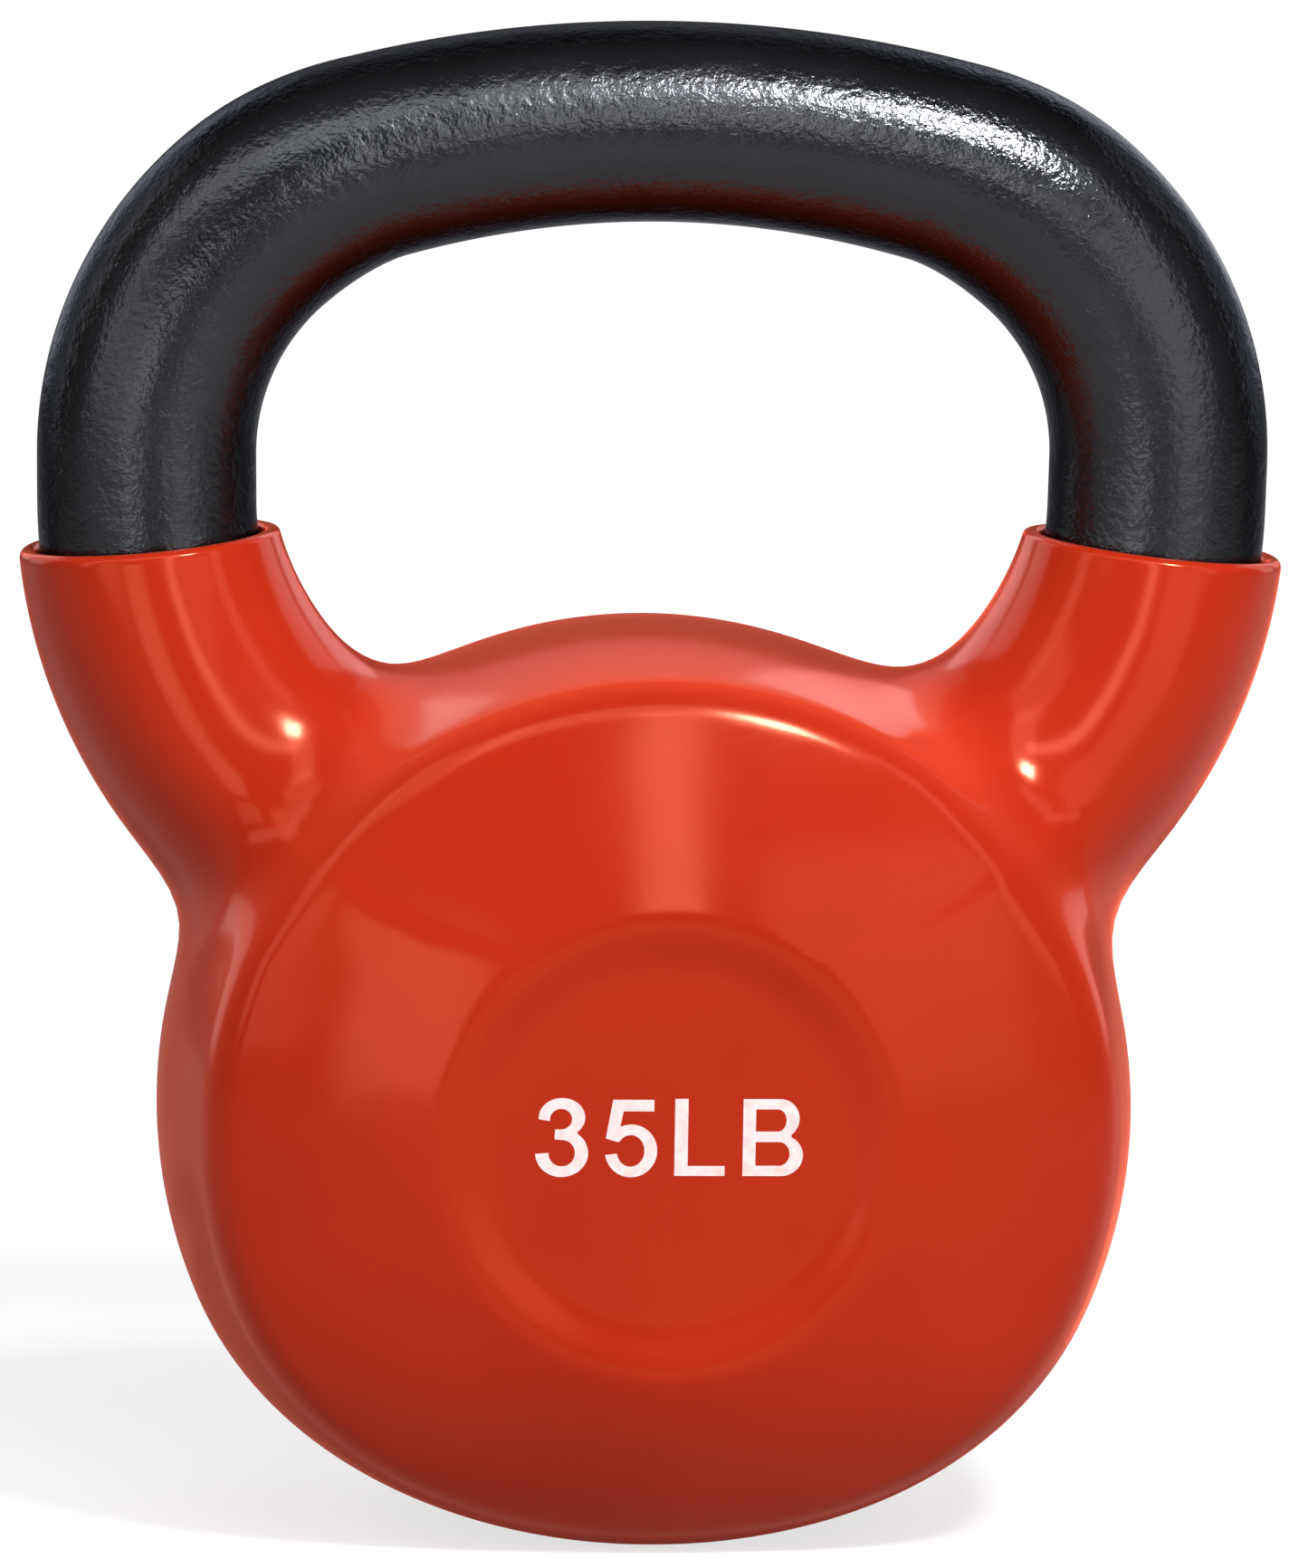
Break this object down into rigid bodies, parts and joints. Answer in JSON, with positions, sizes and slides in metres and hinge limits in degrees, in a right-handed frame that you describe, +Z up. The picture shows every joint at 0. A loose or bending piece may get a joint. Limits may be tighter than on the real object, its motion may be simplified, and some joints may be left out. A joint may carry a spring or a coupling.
{
  "type": "kettlebell",
  "caption": "Cast-iron kettlebell on a flat base: a round bell and horns in a thick glossy red vinyl jacket, a round recess in each face, and a bare black loop handle.",
  "frame": {"origin": "on the floor under the middle of the bell, in the plane of the flat base", "axes": "+Z up through the grip, +X along the grip, -Y out of the face that carries the weight mark"},
  "size_m": [0.2176, 0.1066, 0.2597],
  "materials": {
    "powder_coated_iron": "black powder coat with a fine orange-peel grain over grey cast iron",
    "red_vinyl": "thick moulded vinyl, smooth and glossy"
  },
  "bodies": {
    "root": {"iron_casting": "powder_coated_iron", "vinyl_jacket": "red_vinyl"}
  },
  "joints": []
}
